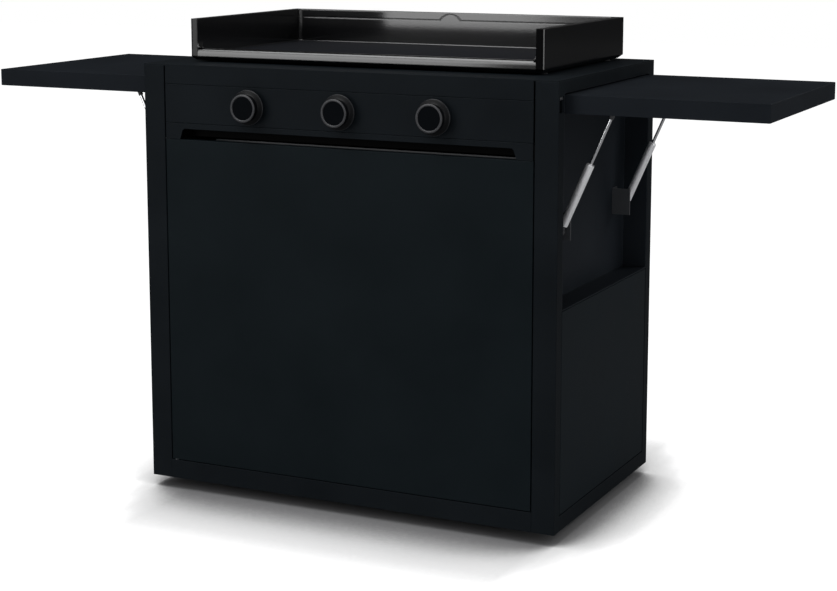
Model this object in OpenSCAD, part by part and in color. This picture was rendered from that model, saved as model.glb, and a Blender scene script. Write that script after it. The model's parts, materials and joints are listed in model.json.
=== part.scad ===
// Gas plancha griddle on a closed trolley: steel cabinet with a hinged front door and two
// folding side shelves on gas struts, and a three-burner griddle unit set into its top.
// Millimetres. X runs along the front, Y to the back, Z up. The origin is on the floor,
// under the middle of the whole object.

/* [Cabinet] */
// Width over the two side frames
cab_w = 860; // [820:1:940]
// Depth from the front faces to the back faces of the posts
cab_d = 508; // [480:1:560]
// Height from the cabinet's bottom edge to its top
cab_h = 822; // [780:1:880]
// Clearance between the floor and the cabinet's bottom edge
ride_h = 22; // [18:1:40]
// Width of the corner posts, seen from the front
post_w = 45; // [40:1:55]
// Depth of the corner posts, seen from the side
post_d = 26.5; // [24:0.5:32]
// Wall of the posts and rails
frame_t = 2; // [1.5:0.1:3]
// Sheet of the folded panels
sheet_t = 1.5; // [1:0.1:2]
// Height of the side frames' bottom rail
side_rail_h = 29; // [24:1:40]
// Height of the rail under the door
door_rail_h = 37; // [32:1:50]
// Top plate over the whole cabinet
top_t = 3; // [2:0.5:5]

/* [Side recesses and shelves] */
// Height of the recess floor over the cabinet's bottom edge
recess_z = 410; // [400:1:412]
// Depth of the recess that takes the folded shelf
recess_deep = 49; // [47:0.5:56]
// Visible band over the recess
recess_band = 25; // [22:1:30]
// Thickness of a side shelf
shelf_t = 33; // [31:1:36]
// Reach of a side shelf past the cabinet's side
shelf_reach = 367; // [300:1:369]
// Gap between the shelf's ends and the recess
shelf_gap = 1; // [0.5:0.1:2]
// Depth of the shelf's hinge axis under its top face
hinge_drop = 6; // [5.5:0.5:8]
// Stub of the shelf behind its hinge axis
hinge_tail = 4.5; // [4.2:0.1:5]
// Radius of the shelf's hinge pins
hinge_pin_r = 2.5; // [2:0.1:2.7]

/* [Gas struts] */
// Distance of a strut's plane from the front and back faces
strut_y = 84; // [75:1:100]
// Distance of the foot pivot behind the cabinet's side
strut_foot_in = 27; // [25:1:29]
// Height of the foot pivot
strut_foot_z = 541; // [530:1:547]
// Distance of the head pivot outboard of the shelf's hinge axis
strut_head_out = 80; // [72:1:84]
// Distance of the head pivot below the shelf's hinge axis
strut_head_drop = 19; // [17:0.5:21]
// Radius of the strut's pressure tube
tube_r = 7.5; // [6:0.5:7.5]
// Radius of the strut's rod
rod_r = 3; // [2:0.5:4]
// Length of the pressure tube from the foot pivot
tube_l = 138; // [130:1:142]
// Length of rod inside the tube when the shelf is up
rod_in = 25; // [20:1:26]
// Width of a strut bracket across the recess
bracket_w = 37; // [35:1:38]
// Height of a strut bracket
bracket_h = 51; // [48:1:60]

/* [Door] */
// Gap round the door
door_gap = 2; // [1.6:0.1:3]
// Depth of the door's folded edges
door_d = 20; // [16:1:24]
// Inset of the hinge axis from the door's edge
door_pivot_in = 8; // [8:0.5:10]
// Radius of the door's hinge pins
door_pin_r = 2.5; // [2:0.1:2.5]
// Height of the raised pull lip on the door's top
pull_lip_h = 3; // [2:0.1:3]
// Free end of the pull lip from the middle
pull_lip_right = 342; // [300:1:343]
// Hinge end of the pull lip from the middle
pull_lip_left = 281; // [240:1:320]

/* [Griddle unit front] */
// Gap between the griddle unit and the posts
unit_gap = 3; // [2:0.5:5]
// Seam between the unit's front pieces
seam = 0.8; // [0.5:0.1:1.5]
// Height of the top frame's front band, top plate included
band_h = 37.5; // [34:0.5:42]
// Height of the control panel
panel_h = 74.5; // [72:0.5:80]
// Height of the grease drawer's front
drawer_h = 32; // [30:1:36]
// Height of the grip cut-out in the drawer's front
grip_h = 20.5; // [16:0.5:22]
// Width of the grip cut-out along its top
grip_w = 688; // [600:1:690]
// Slant of the cut-out's ends
grip_slant = 7; // [4:1:8]

/* [Griddle plate] */
// Width of the griddle plate
plate_w = 742; // [700:1:750]
// Depth of the griddle plate
plate_d = 419; // [390:1:424]
// Distance of the plate from the cabinet's front face
plate_y = 75; // [70:1:82]
// Height of the plate from its underside to the wall's top
plate_h = 80; // [70:1:90]
// Thickness of the three walls
wall_t = 16; // [12:1:18]
// Thickness of the plate's floor
floor_t = 13.5; // [12:0.5:15]
// Height of the front lip over the plate's floor
lip_h = 10; // [8:0.5:12]
// Thickness of the front lip
lip_t = 14; // [10:1:18]
// Bevel under the plate's edge, upwards
bevel_h = 7.5; // [5:0.5:9]
// Bevel under the plate's edge, inwards
bevel_in = 9; // [6:0.5:10]
// Height of the feet under the plate
foot_h = 3; // [2:0.5:5]
// Depth of the decorative groove below the wall's top
groove_drop = 16; // [14:0.5:18]
// Width of the decorative groove
groove_w = 1.8; // [1.2:0.1:2.4]
// Half width of the arch in the groove
arch_half = 24; // [20:1:28]
// Rise of the arch in the groove
arch_rise = 12.5; // [10:0.5:13]
// Radius of the grease drain hole
drain_r = 15; // [12:1:18]

/* [Knobs and gas train] */
// Distance between neighbouring knobs
knob_pitch = 193; // [170:1:200]
// Distance from the front face to the knob's front
knob_out = 30; // [28:0.5:34]
// Radius of the knob's grip
knob_r = 27.2; // [24:0.1:28]
// Radius of the knob's skirt
skirt_r = 33.5; // [31:0.5:34]
// Travel of a knob when it is pushed in
knob_push = 4; // [3:0.5:4.5]
// Radius of the valve stem
stem_r = 3; // [2.5:0.1:3.5]
// Radius of the burner tubes
burner_r = 11; // [9:0.5:12]
// Distance between the two legs of a burner
burner_leg = 120; // [100:1:130]
// Radius of the gas inlet's threaded spigot, M20
inlet_r = 10; // [8:0.5:11]
// Length of the gas inlet's spigot
inlet_l = 14; // [10:1:15]

/* [Casters] */
// Radius of a caster wheel
wheel_r = 25; // [23:0.5:26]
// Width of a caster wheel
wheel_w = 20; // [16:1:22]
// Trail of the wheel behind the swivel axis
trail = 16; // [12:1:20]
// Distance of the swivel axes from the cabinet's middle
caster_x = 315; // [280:1:325]
// Distance of the swivel axes from the front and back faces
caster_y = 95; // [85:1:120]

/* [Hidden] */
$fn = 48;
// Overshoot of a cutting solid past the face that it cuts
over = 1;
// Radial clearance of a running fit
run = 0.05;
// Clearance between pieces that move past each other
slack = 0.3;

// Places, in the cabinet's frame: Y from the front faces, Z from the bottom edge
hw = cab_w / 2;
post_in = hw - post_w;
frame_h = cab_h - top_t;
pan_x = hw - recess_deep;
pan_in = pan_x - sheet_t;
pan_y0 = post_d;
pan_y1 = cab_d - post_d;
recess_y0 = pan_y0 + sheet_t;
recess_y1 = pan_y1 - sheet_t;
recess_top = cab_h - recess_band;
side_top_z = recess_top + sheet_t;

// Shelf: top face, hinge axis and ends
shelf_top = recess_top - 2;
hinge_x = hw - hinge_drop;
hinge_z = shelf_top - hinge_drop;
shelf_x0 = hinge_x - hinge_tail;
shelf_x1 = hw + shelf_reach;
shelf_y0 = recess_y0 + shelf_gap;
shelf_y1 = recess_y1 - shelf_gap;
shelf_bottom = shelf_top - shelf_t;
shelf_hem = 12;
shelf_step = 0.6;
pin_into_post = 14;
notch_front = 2.5;
notch_top = shelf_top - 2;
notch_h = 28;

// Strut: foot and head pivots, and the line between them
foot_x = hw - strut_foot_in;
head_x = hinge_x + strut_head_out;
head_z = hinge_z - strut_head_drop;
strut_dx = head_x - foot_x;
strut_dz = head_z - strut_foot_z;
strut_l = sqrt(strut_dx * strut_dx + strut_dz * strut_dz);
strut_tilt = atan2(strut_dx, strut_dz);
eye_r = 7;
eye_w = 10;
stud_r = 4;
stud_gap = 5;
lug_t = 2;
bracket_up = 9;
bracket_fold = 24;
lug_half = 12;

// Door
door_hw = post_in - door_gap;
drawer_z0 = cab_h - band_h - panel_h - drawer_h;
door_z0 = door_rail_h + door_gap;
door_z1 = drawer_z0 - seam / 2;
door_pivot_x = -(door_hw - door_pivot_in);
door_pivot_y = sheet_t + door_pin_r + 0.5;
door_return = 16;
magnet_in = 60;
magnet_l = 34;
magnet_w = 22;

// Griddle unit, and the back panel that ends under it
unit_hw = post_in - unit_gap;
skirt_x = pan_in - 1;
chassis_hw = pan_in - 3.5;
chassis_y0 = post_d - 2.5;
chassis_y1 = cab_d - 20;
panel_z0 = drawer_z0 + drawer_h;
band_z0 = panel_z0 + panel_h;
chassis_z0 = panel_z0 + 2;
back_z1 = panel_z0 - 10;
back_flange = 18;
vent_w = 60;
vent_h = 8;
vent_in = 80;
screw_in = 13;
knob_z = panel_z0 + panel_h / 2;
knob_x = [-knob_pitch, 0, knob_pitch];
shield_y = 84;
drawer_hw = unit_hw - 30;
drawer_y0 = 30;
drawer_y1 = chassis_y1 - 18;
drawer_floor = drawer_z0 + pull_lip_h + 1;
drawer_top = panel_z0 - 6;
runner_x = drawer_hw + 14;

// Griddle plate
plate_z = cab_h + foot_h;
plate_hw = plate_w / 2;
plate_top = plate_z + plate_h;
plate_floor = plate_z + floor_t;
plate_y1 = plate_y + plate_d;
inner_hw = plate_hw - wall_t;
inner_y1 = plate_y1 - wall_t;
lip_z = plate_floor + lip_h;
corner_r = 5;
inner_r = 8;
lip_corner_r = 12;
lip_round = 9;
pocket_h = floor_t - 6.5;
groove_z = plate_top - groove_drop;
groove_deep = 1;
arch_r = (arch_half * arch_half + arch_rise * arch_rise) / (2 * arch_rise);
drain_in_x = 45;
drain_in_y = 40;
drain_x = -(inner_hw - drain_in_x);
drain_y = plate_y + lip_t + drain_in_y;
pad_in = 45;
opening_in_x = 31;
opening_in_y0 = 25;
opening_in_y1 = 24;
opening_hw = plate_hw - opening_in_x;
opening_y0 = plate_y + opening_in_y0;
opening_y1 = plate_y1 - opening_in_y1;

// Burners and valves
burner_drop = 34;
burner_in_y0 = 46;
burner_in_y1 = 50;
burner_z = cab_h - burner_drop;
burner_wall = 2;
burner_y0 = shield_y + burner_in_y0;
burner_y1 = chassis_y1 - burner_in_y1;
manifold_y = 64;
manifold_r = 8;
valve_y0 = chassis_y0 + sheet_t;
valve_half = 12;
plug_r = 5;
plug_y0 = valve_y0 + 4;
plug_y1 = plug_y0 + 18;
inlet_x = chassis_hw - 26;
inlet_z = chassis_z0 + 16;
manifold_end = 30;
shield_hw = inlet_x + manifold_r + 3;
spark_x = burner_leg / 2 - 28;
spark_z = burner_z - burner_r - 7;
spark_l = 22;

// Casters
caster_half_x = 34;
caster_half_y = 28;
bolt_in = 7;
caster_z = 44;
caster_plate_t = 2;
axle_z = wheel_r - ride_h;
axle_r = 4;
fork_t = 2.5;
fork_gap = 1;
fork_half = wheel_w / 2 + fork_gap;
crown_z = caster_z - caster_plate_t - slack - 5;
kingpin_r = 5;

// Cabinet frame to the object's frame: the middle of the whole depth, knobs included,
// lies over the origin
module cab() { translate([0, (knob_out - cab_d) / 2, ride_h]) children(); }
module both() { children(); mirror([1, 0, 0]) children(); }
module left() { mirror([1, 0, 0]) children(); }
// The same solid at the front and, mirrored, at the back
module fore_aft() { children(); translate([0, cab_d, 0]) mirror([0, 1, 0]) children(); }
module aft() { translate([0, cab_d, 0]) mirror([0, 1, 0]) children(); }
// Box from one corner to the opposite one
module box(a, b) { translate(a) cube(b - a); }
// Rod along Y between two depths
module rod_y(x, z, r, y0, y1) { translate([x, y0, z]) rotate([-90, 0, 0]) cylinder(r = r, h = y1 - y0); }
module rod_x(y, z, r, x0, x1) { translate([x0, y, z]) rotate([0, 90, 0]) cylinder(r = r, h = x1 - x0); }
module rod_z(x, y, r, z0, z1) { translate([x, y, z0]) cylinder(r = r, h = z1 - z0); }
// Rectangle with round corners
module round_rect(x0, y0, x1, y1, r) {
    translate([x0 + r, y0]) square([x1 - x0 - 2 * r, y1 - y0]);
    translate([x0, y0 + r]) square([x1 - x0, y1 - y0 - 2 * r]);
    for (x = [x0 + r, x1 - r], y = [y0 + r, y1 - r]) translate([x, y]) circle(r = r);
}

// Side frame: two box posts, a top rail and a bottom rail that open inwards
module side_frame() {
    edge_r = 1.5;
    difference() {
        union() {
            for (y = [0, cab_d - post_d])
                linear_extrude(frame_h) round_rect(post_in, y, hw, y + post_d, edge_r);
            box([post_in, post_d - frame_t, side_top_z], [hw, cab_d - post_d + frame_t, frame_h]);
            box([post_in, post_d - frame_t, 0], [hw, cab_d - post_d + frame_t, side_rail_h]);
        }
        for (y = [0, cab_d - post_d])
            box([post_in + frame_t, y + frame_t, frame_t],
                [hw - frame_t, y + post_d - frame_t, frame_h - frame_t]);
        for (z = [[side_top_z, frame_h], [0, side_rail_h]])
            box([post_in - over, post_d, z[0] + frame_t],
                [hw - frame_t, cab_d - post_d, z[1] - frame_t]);
        fore_aft() {
            box([hw - frame_t - over, notch_front, notch_top - notch_h],
                [hw + over, post_d + over, notch_top]);
            rod_y(hinge_x, hinge_z, hinge_pin_r, post_d - frame_t - over, post_d + over);
        }
    }
}
module side_frame_right() { color("#17191d") cab() side_frame(); }
module side_frame_left() { color("#17191d") cab() left() side_frame(); }

// Recess pan: the deep tray in the cabinet's side that takes the folded shelf
module recess_pan() {
    rim = hw - 0.5;
    difference() {
        box([pan_in, pan_y0, recess_z - sheet_t], [rim, pan_y1, side_top_z]);
        box([pan_x, recess_y0, recess_z], [rim + over, recess_y1, recess_top]);
        fore_aft() rod_y(hinge_x, hinge_z, hinge_pin_r, pan_y0 - over, recess_y0 + over);
    }
}
module recess_pan_right() { color("#121418") cab() recess_pan(); }
module recess_pan_left() { color("#121418") cab() left() recess_pan(); }

// Lower side panel: a sheet with a raised field, so that a narrow groove runs round it
module side_panel() {
    groove = 2;
    t = sheet_t;
    z0 = side_rail_h;
    z1 = recess_z - t;
    difference() {
        union() {
            box([hw - 3 - t, pan_y0, z0], [hw - 3, pan_y1, z1]);
            box([hw - 3 - t, pan_y0 + groove, z0 + groove], [hw - 0.5, pan_y1 - groove, z1 - groove]);
        }
        box([hw - 3 - t - over, pan_y0 + groove + t, z0 + groove + t],
            [hw - 0.5 - t, pan_y1 - groove - t, z1 - groove - t]);
    }
}
module side_panel_right() { color("#15181c") cab() side_panel(); }
module side_panel_left() { color("#15181c") cab() left() side_panel(); }

// Rail under the door, open at the back, with the bore of the door's lower hinge pin
module bottom_rail() {
    depth = post_d - 2;
    color("#17191d") cab() difference() {
        box([-post_in, 0, 0], [post_in, depth, door_rail_h]);
        box([-post_in - over, frame_t, frame_t], [post_in + over, depth + over, door_rail_h - frame_t]);
        rod_z(door_pivot_x, door_pivot_y, door_pin_r, door_rail_h - frame_t - over, door_rail_h + over);
    }
}

// Cabinet floor: a raised platform on flanges that lie on the side frames' bottom rails
module base_panel() {
    y0 = pan_y0 + 0.5;
    y1 = pan_y1 - 0.5;
    web = post_in - 8;
    top = caster_z + frame_t;
    color("#15181c") cab() {
        box([-web, y0, caster_z], [web, y1, top]);
        both() {
            box([web - frame_t, y0, side_rail_h], [web, y1, top]);
            box([web - frame_t, y0, side_rail_h], [hw - 6, y1, side_rail_h + frame_t]);
        }
        box([-web, y1 - frame_t, caster_z - 14], [web, y1, top]);
        box([-web, y0, caster_z - 14], [web, y0 + frame_t, top]);
    }
}

// Back panel with two rows of vent slots
module back_panel() {
    y1 = cab_d - 2;
    y0 = y1 - sheet_t;
    z1 = back_z1;
    slots = 7;
    color("#15181c") cab() difference() {
        union() {
            box([-post_in, y0, 0], [post_in, y1, z1]);
            box([-post_in, y0 - back_flange, z1 - sheet_t], [post_in, y1, z1]);
            box([-post_in, y0 - back_flange, 0], [post_in, y1, sheet_t]);
        }
        for (z = [vent_in, z1 - vent_in], i = [0 : slots - 1])
            translate([(i - (slots - 1) / 2) * 1.5 * vent_w, y0 - over, z])
                rotate([-90, 0, 0]) linear_extrude(sheet_t + 2 * over)
                    round_rect(-vent_w / 2, -vent_h / 2, vent_w / 2, vent_h / 2, vent_h / 2 - 0.1);
    }
}

// Screw heads along the back panel's edges
module panel_screws() {
    steps = 3;
    color("#2a2c30") cab() both() for (k = [0 : steps])
        rod_y(post_in - screw_in, screw_in + k * (back_z1 - 2 * screw_in) / steps, 4,
            cab_d - 2, cab_d - 0.2);
}

// Front door: a folded pan with inward returns and a raised pull lip behind its top edge
module front_door() {
    t = sheet_t;
    color("#14191b") cab() difference() {
        union() {
            difference() {
                linear_extrude(door_z1) round_rect(-door_hw, 0, door_hw, door_d, 1.2);
                box([-door_hw - over, -over, -over], [door_hw + over, door_d + over, door_z0]);
                box([-door_hw + t, t, door_z0 + t], [door_hw - t, door_d - t, door_z1 - t]);
                box([-door_hw + door_return, t, door_z0 + door_return],
                    [door_hw - door_return, door_d + over, door_z1 - door_return]);
            }
            box([-pull_lip_left, door_d - t, door_z1 - t],
                [pull_lip_right, door_d, door_z1 + pull_lip_h]);
        }
        rod_z(door_pivot_x, door_pivot_y, door_pin_r + run, door_z0 - over, door_z0 + t + over);
        rod_z(door_pivot_x, door_pivot_y, door_pin_r + run, door_z1 - t - over, door_z1 + over);
    }
}

// Door hinges: a shouldered pin in the rail below, and a bracket with a pin above
module door_hinges() {
    reach = 6;
    bracket_z = door_z1 + slack;
    color("#8d9096") cab() {
        rod_z(door_pivot_x, door_pivot_y, door_pin_r, door_rail_h - frame_t, door_z0 + reach);
        rod_z(door_pivot_x, door_pivot_y, door_pin_r + 2, door_rail_h, door_z0 - slack);
        rod_z(door_pivot_x, door_pivot_y, door_pin_r, door_z1 - reach, bracket_z + 2);
        box([-post_in, frame_t + 0.6, bracket_z], [door_pivot_x + 5, door_pivot_y + 6, bracket_z + 2]);
    }
}

// Magnet catches on the right post, behind the door's return
module door_magnets() {
    y0 = door_d + slack;
    color("#34363a") cab() for (z = [door_z0 + magnet_in, door_z1 - magnet_in - magnet_l])
        box([post_in - magnet_w, y0, z], [post_in, y0 + 6, z + magnet_l]);
}

// Side shelf: a folded pan, open below, with hems round its edge and hinge bores at its ends.
// Its hinge edge is a step lower than the top face.
module shelf() {
    t = sheet_t;
    difference() {
        rotate([90, 0, 0]) translate([0, 0, -shelf_y1]) linear_extrude(shelf_y1 - shelf_y0)
            union() {
                round_rect(shelf_x1 - 12, shelf_bottom, shelf_x1, shelf_top, 1.5);
                translate([shelf_x0, shelf_bottom]) square([shelf_x1 - shelf_x0 - 6, shelf_t]);
            }
        box([shelf_x0 + t, shelf_y0 + t, shelf_bottom + t], [shelf_x1 - t, shelf_y1 - t, shelf_top - t]);
        box([shelf_x0 + t, shelf_y0 + shelf_hem, shelf_bottom - over],
            [shelf_x1 - shelf_hem, shelf_y1 - shelf_hem, shelf_bottom + t + over]);
        box([shelf_x0 - over, shelf_y0 - over, shelf_top - shelf_step],
            [hw + shelf_step, shelf_y1 + over, shelf_top + over]);
        fore_aft() rod_y(hinge_x, hinge_z, hinge_pin_r + run, shelf_y0 - over, shelf_y0 + t + over);
    }
}
module shelf_right() { color("#16181c") cab() shelf(); }
module shelf_left() { color("#16181c") cab() left() shelf(); }

// Lugs under the shelf, beside the struts' heads
module shelf_lugs() {
    y0 = strut_y + eye_w / 2 + stud_gap;
    fore_aft() {
        box([head_x - lug_half, y0, shelf_bottom + 3],
            [head_x + lug_half, y0 + lug_t, shelf_top - sheet_t]);
        box([head_x - lug_half, y0, shelf_top - sheet_t - lug_t],
            [head_x + lug_half, y0 + 20, shelf_top - sheet_t]);
    }
}
module shelf_lugs_right() { color("#2c2e33") cab() shelf_lugs(); }
module shelf_lugs_left() { color("#2c2e33") cab() left() shelf_lugs(); }

// Hinge pins of the shelves, headed inside the posts
module shelf_pins() {
    y1 = shelf_y0 + sheet_t + 1;
    y0 = post_d - pin_into_post;
    color("#8d9096") cab() both() fore_aft() {
        rod_y(hinge_x, hinge_z, hinge_pin_r, y0, y1);
        rod_y(hinge_x, hinge_z, hinge_pin_r + 1.2, y0, post_d - frame_t);
    }
}

// Strut brackets: a folded plate on the recess wall with the foot stud, its flange behind the tube
module strut_brackets() {
    y0 = strut_y + eye_w / 2 + stud_gap;
    z0 = strut_foot_z - bracket_h / 2 + bracket_up;
    color("#2c2e33") cab() both() fore_aft() {
        box([pan_x, y0, z0], [pan_x + bracket_w, y0 + lug_t, z0 + bracket_h]);
        box([pan_x, y0 + lug_t - bracket_fold, z0], [pan_x + lug_t, y0 + lug_t, z0 + bracket_h]);
        rod_y(foot_x, strut_foot_z, stud_r, strut_y - eye_w / 2 - 2, y0);
    }
}

// A solid drawn up along Z from the foot pivot, laid along the strut's line
module on_strut() { translate([foot_x, strut_y, strut_foot_z]) rotate([0, strut_tilt, 0]) children(); }

// Pressure tube: eye at the foot, blind bore for the rod from the top
module strut_tube() {
    bore_z = tube_l - rod_in - (strut_l - fold_l) - 4;
    on_strut() difference() {
        union() {
            rotate([90, 0, 0]) cylinder(r = eye_r, h = eye_w, center = true);
            translate([0, 0, 3]) cylinder(r = 4.5, h = 14);
            translate([0, 0, 13]) cylinder(r = tube_r, h = tube_l - 13);
        }
        rotate([90, 0, 0]) cylinder(r = stud_r + run, h = eye_w + 2 * over, center = true);
        translate([0, 0, bore_z]) cylinder(r = rod_r + run, h = tube_l - bore_z + over);
    }
}
// Strut length with the shelf folded down
fold_x = hinge_x - strut_head_drop - foot_x;
fold_z = hinge_z - strut_head_out - strut_foot_z;
fold_l = sqrt(fold_x * fold_x + fold_z * fold_z);

// Rod with its head eye and stud, which stops short of the shelf's lug
module strut_rod() {
    on_strut() {
        translate([0, 0, tube_l - rod_in]) cylinder(r = rod_r, h = strut_l - tube_l + rod_in);
        translate([0, 0, strut_l - 20]) cylinder(r = 4.5, h = 16);
        translate([0, 0, strut_l]) rotate([90, 0, 0]) cylinder(r = eye_r - 1, h = eye_w, center = true);
        translate([0, eye_w / 2, strut_l]) rotate([-90, 0, 0]) cylinder(r = stud_r, h = stud_gap - slack);
    }
}
module strut_tube_right_front() { color("#b9bcc0") cab() strut_tube(); }
module strut_tube_right_rear() { color("#b9bcc0") cab() aft() strut_tube(); }
module strut_tube_left_front() { color("#b9bcc0") cab() left() strut_tube(); }
module strut_tube_left_rear() { color("#b9bcc0") cab() left() aft() strut_tube(); }
module strut_rod_right_front() { color("#d5d7da") cab() strut_rod(); }
module strut_rod_right_rear() { color("#d5d7da") cab() aft() strut_rod(); }
module strut_rod_left_front() { color("#d5d7da") cab() left() strut_rod(); }
module strut_rod_left_rear() { color("#d5d7da") cab() left() aft() strut_rod(); }

// Caster top plates under the cabinet floor, each with four bolt heads
module caster_plates() {
    z0 = caster_z - caster_plate_t;
    color("#5b5e63") cab() both() fore_aft() difference() {
        union() {
            box([caster_x - caster_half_x, caster_y - caster_half_y, z0],
                [caster_x + caster_half_x, caster_y + caster_half_y, caster_z]);
            for (x = [-1, 1], y = [-1, 1])
                rod_z(caster_x + x * (caster_half_x - bolt_in), caster_y + y * (caster_half_y - bolt_in),
                    bolt_in - 2, z0 - 3, z0);
        }
        rod_z(caster_x, caster_y, kingpin_r + run, z0 - over, caster_z + over);
    }
}

// Caster fork: kingpin, crown, two cheeks and the axle
module caster_fork() {
    color("#5b5e63") cab() {
        rod_z(caster_x, caster_y, kingpin_r, crown_z, caster_z - slack);
        rod_z(caster_x, caster_y, 18, crown_z, crown_z + 5);
        box([caster_x - fork_half - fork_t, caster_y - 14, crown_z - fork_t],
            [caster_x + fork_half + fork_t, caster_y + trail + 4, crown_z]);
        for (s = [-1, 1]) {
            x = caster_x + s * (fork_half + fork_t / 2);
            translate([x, 0, 0]) rotate([90, 0, 90]) linear_extrude(fork_t, center = true)
                polygon([[caster_y - 14, crown_z], [caster_y + trail + 4, crown_z],
                    [caster_y + trail + 8, axle_z], [caster_y + trail, axle_z - 7],
                    [caster_y + trail - 8, axle_z]]);
        }
        rod_x(caster_y + trail, axle_z, axle_r, caster_x - fork_half - fork_t - 1.5,
            caster_x + fork_half + fork_t + 1.5);
    }
}

// Caster wheel with a rounded tread and a shallow hub recess
module caster_wheel() {
    half = wheel_w / 2;
    color("#1d1e20") cab() translate([caster_x, caster_y + trail, axle_z]) rotate([0, 90, 0])
        rotate_extrude() polygon([[axle_r + run, -half], [axle_r + 6, -half], [axle_r + 7, -half + 2],
            [wheel_r - 7, -half + 2], [wheel_r - 6, -half], [wheel_r - 2, -half], [wheel_r, -half + 3],
            [wheel_r, half - 3], [wheel_r - 2, half], [wheel_r - 6, half], [wheel_r - 7, half - 2],
            [axle_r + 7, half - 2], [axle_r + 6, half], [axle_r + run, half]]);
}
// The same caster at each of the four corners
module fork_at(sx, back) {
    translate([sx < 0 ? -2 * caster_x : 0, back ? cab_d - 2 * caster_y : 0, 0]) caster_fork();
}
module wheel_at(sx, back) {
    translate([sx < 0 ? -2 * caster_x : 0, back ? cab_d - 2 * caster_y : 0, 0]) caster_wheel();
}

// Top plate with the burner opening, the front band and the inner skirts
module top_frame() {
    t = sheet_t;
    z1 = cab_h - top_t;
    color("#1a1c20") cab() difference() {
        union() {
            translate([0, 0, z1]) linear_extrude(top_t) round_rect(-hw, 0, hw, cab_d, 1.5);
            box([-unit_hw, 0, band_z0 + seam / 2], [unit_hw, frame_t, z1 + over]);
            both() box([skirt_x - t, frame_t, band_z0 + seam / 2], [skirt_x, cab_d - 2, z1 + over]);
            box([-skirt_x, cab_d - 2 - t, band_z0 + seam / 2], [skirt_x, cab_d - 2, z1 + over]);
        }
        box([-opening_hw, opening_y0, z1 - over], [opening_hw, opening_y1, cab_h + over]);
    }
}

// Chassis: the burner box that hangs under the top plate
module chassis() {
    t = sheet_t;
    z1 = cab_h - top_t;
    color("#2a2c30") cab() difference() {
        union() {
            difference() {
                box([-chassis_hw, chassis_y0, chassis_z0], [chassis_hw, chassis_y1, z1]);
                box([-chassis_hw + t, chassis_y0 + t, chassis_z0 + t],
                    [chassis_hw - t, chassis_y1 - t, z1 + over]);
            }
            both() box([chassis_hw - over, chassis_y0, chassis_z0],
                [unit_hw - t, chassis_y0 + t, band_z0]);
            box([-chassis_hw + t, burner_y1 - 8, burner_z - burner_r - t],
                [chassis_hw - t, burner_y1 + 8, burner_z - burner_r]);
        }
        for (x = knob_x) rod_y(x, knob_z, stem_r + 3, chassis_y0 - over, chassis_y0 + t + over);
        rod_y(inlet_x, inlet_z, manifold_r + slack, chassis_y1 - t - over, chassis_y1 + over);
        box([drain_x - 2 * drain_r, drain_y - 2 * drain_r, chassis_z0 - over],
            [drain_x + 2 * drain_r, drain_y + 2 * drain_r, chassis_z0 + t + over]);
    }
}

// Control panel: front sheet with side and edge returns and three holes for the stems
module control_panel() {
    z0 = panel_z0 + seam / 2;
    z1 = band_z0 - seam / 2;
    depth = 12;
    t = sheet_t;
    color("#17191d") cab() difference() {
        union() {
            box([-unit_hw, 0, z0], [unit_hw, frame_t, z1]);
            box([-unit_hw, 0, z0], [unit_hw, depth, z0 + t]);
            box([-unit_hw, 0, z1 - t], [unit_hw, depth, z1]);
            both() box([unit_hw - t, 0, z0], [unit_hw, chassis_y0 + t, z1]);
        }
        for (x = knob_x) rod_y(x, knob_z, stem_r + 4, -over, frame_t + over);
    }
}

// Outline of the plate in front view, with bevelled lower edges
module plate_section(half, z0, z1) {
    polygon([[-half, z1], [-half, z0 + bevel_h], [-half + bevel_in, z0], [half - bevel_in, z0],
        [half, z0 + bevel_h], [half, z1]]);
}

// Cast griddle plate: floor, three walls, a low front lip, a drain hole and the groove
module griddle_plate() {
    dh = plate_d / 2;
    arch_z = groove_z + arch_rise - arch_r;
    color("#101114") cab() difference() {
        intersection() {
            translate([0, 0, plate_z])
                linear_extrude(plate_h) round_rect(-plate_hw, plate_y, plate_hw, plate_y1, corner_r);
            translate([0, plate_y1 + over, 0]) rotate([90, 0, 0])
                linear_extrude(plate_d + 2 * over) plate_section(plate_hw, plate_z, plate_top);
            translate([-plate_hw - over, plate_y + dh, 0]) rotate([90, 0, 90])
                linear_extrude(plate_w + 2 * over) plate_section(dh, plate_z, plate_top);
        }
        translate([0, 0, plate_floor]) linear_extrude(plate_h)
            round_rect(-inner_hw, plate_y + lip_t, inner_hw, inner_y1, inner_r);
        translate([0, plate_y + lip_t + inner_r, 0]) rotate([90, 0, 0])
            linear_extrude(lip_t + inner_r + over)
                round_rect(-inner_hw, lip_z, inner_hw, plate_top + 2 * lip_corner_r, lip_corner_r);
        difference() {
            box([-inner_hw, plate_y - over, lip_z - lip_round],
                [inner_hw, plate_y + lip_round, lip_z + over]);
            rod_x(plate_y + lip_round, lip_z - lip_round, lip_round, -plate_hw, plate_hw);
        }
        rod_z(drain_x, drain_y, drain_r, plate_z - over, plate_floor + over);
        box([-opening_hw + 2, opening_y0 + 2, plate_z - over],
            [opening_hw - 2, opening_y1 - 2, plate_z + pocket_h]);
        both() box([arch_half - 1, inner_y1 - over, groove_z - groove_w / 2],
            [inner_hw - 12, inner_y1 + groove_deep, groove_z + groove_w / 2]);
        intersection() {
            difference() {
                rod_y(0, arch_z, arch_r + groove_w / 2, inner_y1 - over, inner_y1 + groove_deep);
                rod_y(0, arch_z, arch_r - groove_w / 2, inner_y1 - 2 * over, inner_y1 + 2 * over);
            }
            box([-arch_half - 2, inner_y1 - 2 * over, groove_z - groove_w / 2],
                [arch_half + 2, inner_y1 + 2 * over, plate_top]);
        }
    }
}

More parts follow.
